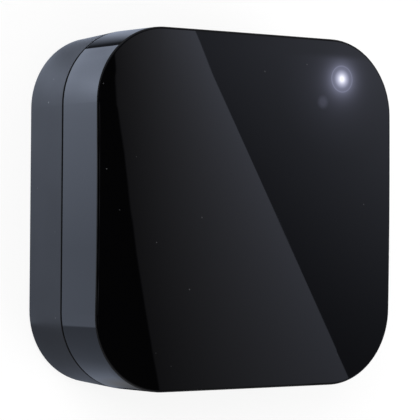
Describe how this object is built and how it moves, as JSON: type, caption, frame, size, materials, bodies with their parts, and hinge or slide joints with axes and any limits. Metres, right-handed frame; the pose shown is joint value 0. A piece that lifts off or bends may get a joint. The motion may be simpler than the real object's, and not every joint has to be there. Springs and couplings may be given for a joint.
{
  "type": "smart infrared controller",
  "caption": "Flat rounded square infrared remote control hub with a glossy crowned face, a status light, a USB power socket and a small reset button.",
  "frame": {"origin": "on the surface the feet stand on, under the middle of the square case", "axes": "+Z out of the glossy face, +X towards the side nearest the status light, -Y out of the side with the USB socket and the reset button"},
  "size_m": [0.062, 0.062, 0.0247],
  "materials": {
    "gloss_black": "high gloss, lets infrared through",
    "satin_black": "fine satin texture",
    "board_green": "solder mask",
    "screw_steel": "black zinc",
    "foot_rubber": "matte",
    "label_silver": "blank film",
    "light_guide": "milky",
    "lamp_white": "surface lamp",
    "emitter_lens": "tinted epoxy",
    "receiver_black": "epoxy",
    "socket_steel": "tinned steel",
    "socket_black": "moulded",
    "contact_gold": "plated",
    "button_black": "satin",
    "switch_black": "moulded",
    "stem_brown": "moulded",
    "dome_steel": "spring steel",
    "module_blue": "solder mask",
    "can_aluminium": "sleeved can",
    "fuse_green": "moulded",
    "ceramic_tan": "ceramic",
    "chip_black": "glazed"
  },
  "bodies": {
    "case": {"front_shell": "gloss_black", "rear_shell": "satin_black", "circuit_board": "board_green", "case_screws": "screw_steel", "rubber_foot_left_lower": "foot_rubber", "rubber_foot_left_upper": "foot_rubber", "rubber_foot_right_lower": "foot_rubber", "rubber_foot_right_upper": "foot_rubber", "rating_label": "label_silver", "light_pipe": "light_guide", "status_lamp": "lamp_white", "infrared_emitter_1": "emitter_lens", "infrared_emitter_2": "emitter_lens", "infrared_emitter_3": "emitter_lens", "infrared_emitter_4": "emitter_lens", "infrared_emitter_5": "emitter_lens", "infrared_emitter_6": "emitter_lens", "infrared_emitter_top": "emitter_lens", "infrared_receiver": "receiver_black", "usb_socket_shell": "socket_steel", "usb_socket_tongue": "socket_black", "usb_socket_contacts": "contact_gold", "reset_switch_body": "switch_black", "reset_switch_dome": "dome_steel", "wireless_module_board": "module_blue", "wireless_module_shield": "socket_steel", "wireless_module_antenna": "contact_gold", "input_capacitor": "can_aluminium", "output_capacitor": "can_aluminium", "voltage_regulator": "switch_black", "input_fuse": "fuse_green", "driver_transistor_1": "switch_black", "driver_transistor_2": "switch_black", "chip_capacitor_1": "ceramic_tan", "chip_capacitor_2": "ceramic_tan", "emitter_resistor_1": "chip_black", "emitter_resistor_2": "chip_black", "emitter_resistor_3": "chip_black", "emitter_resistor_4": "chip_black", "emitter_resistor_5": "chip_black", "emitter_resistor_6": "chip_black", "emitter_resistor_7": "chip_black"},
    "reset_button": {"reset_button": "button_black", "reset_switch_stem": "stem_brown"}
  },
  "joints": [
    {"name": "reset_button_press", "type": "slide", "parent": "case", "child": "reset_button", "axis": [0, 1, 0], "range_m": [0, 0.0003], "stiffness_N_per_m": 4000}
  ]
}
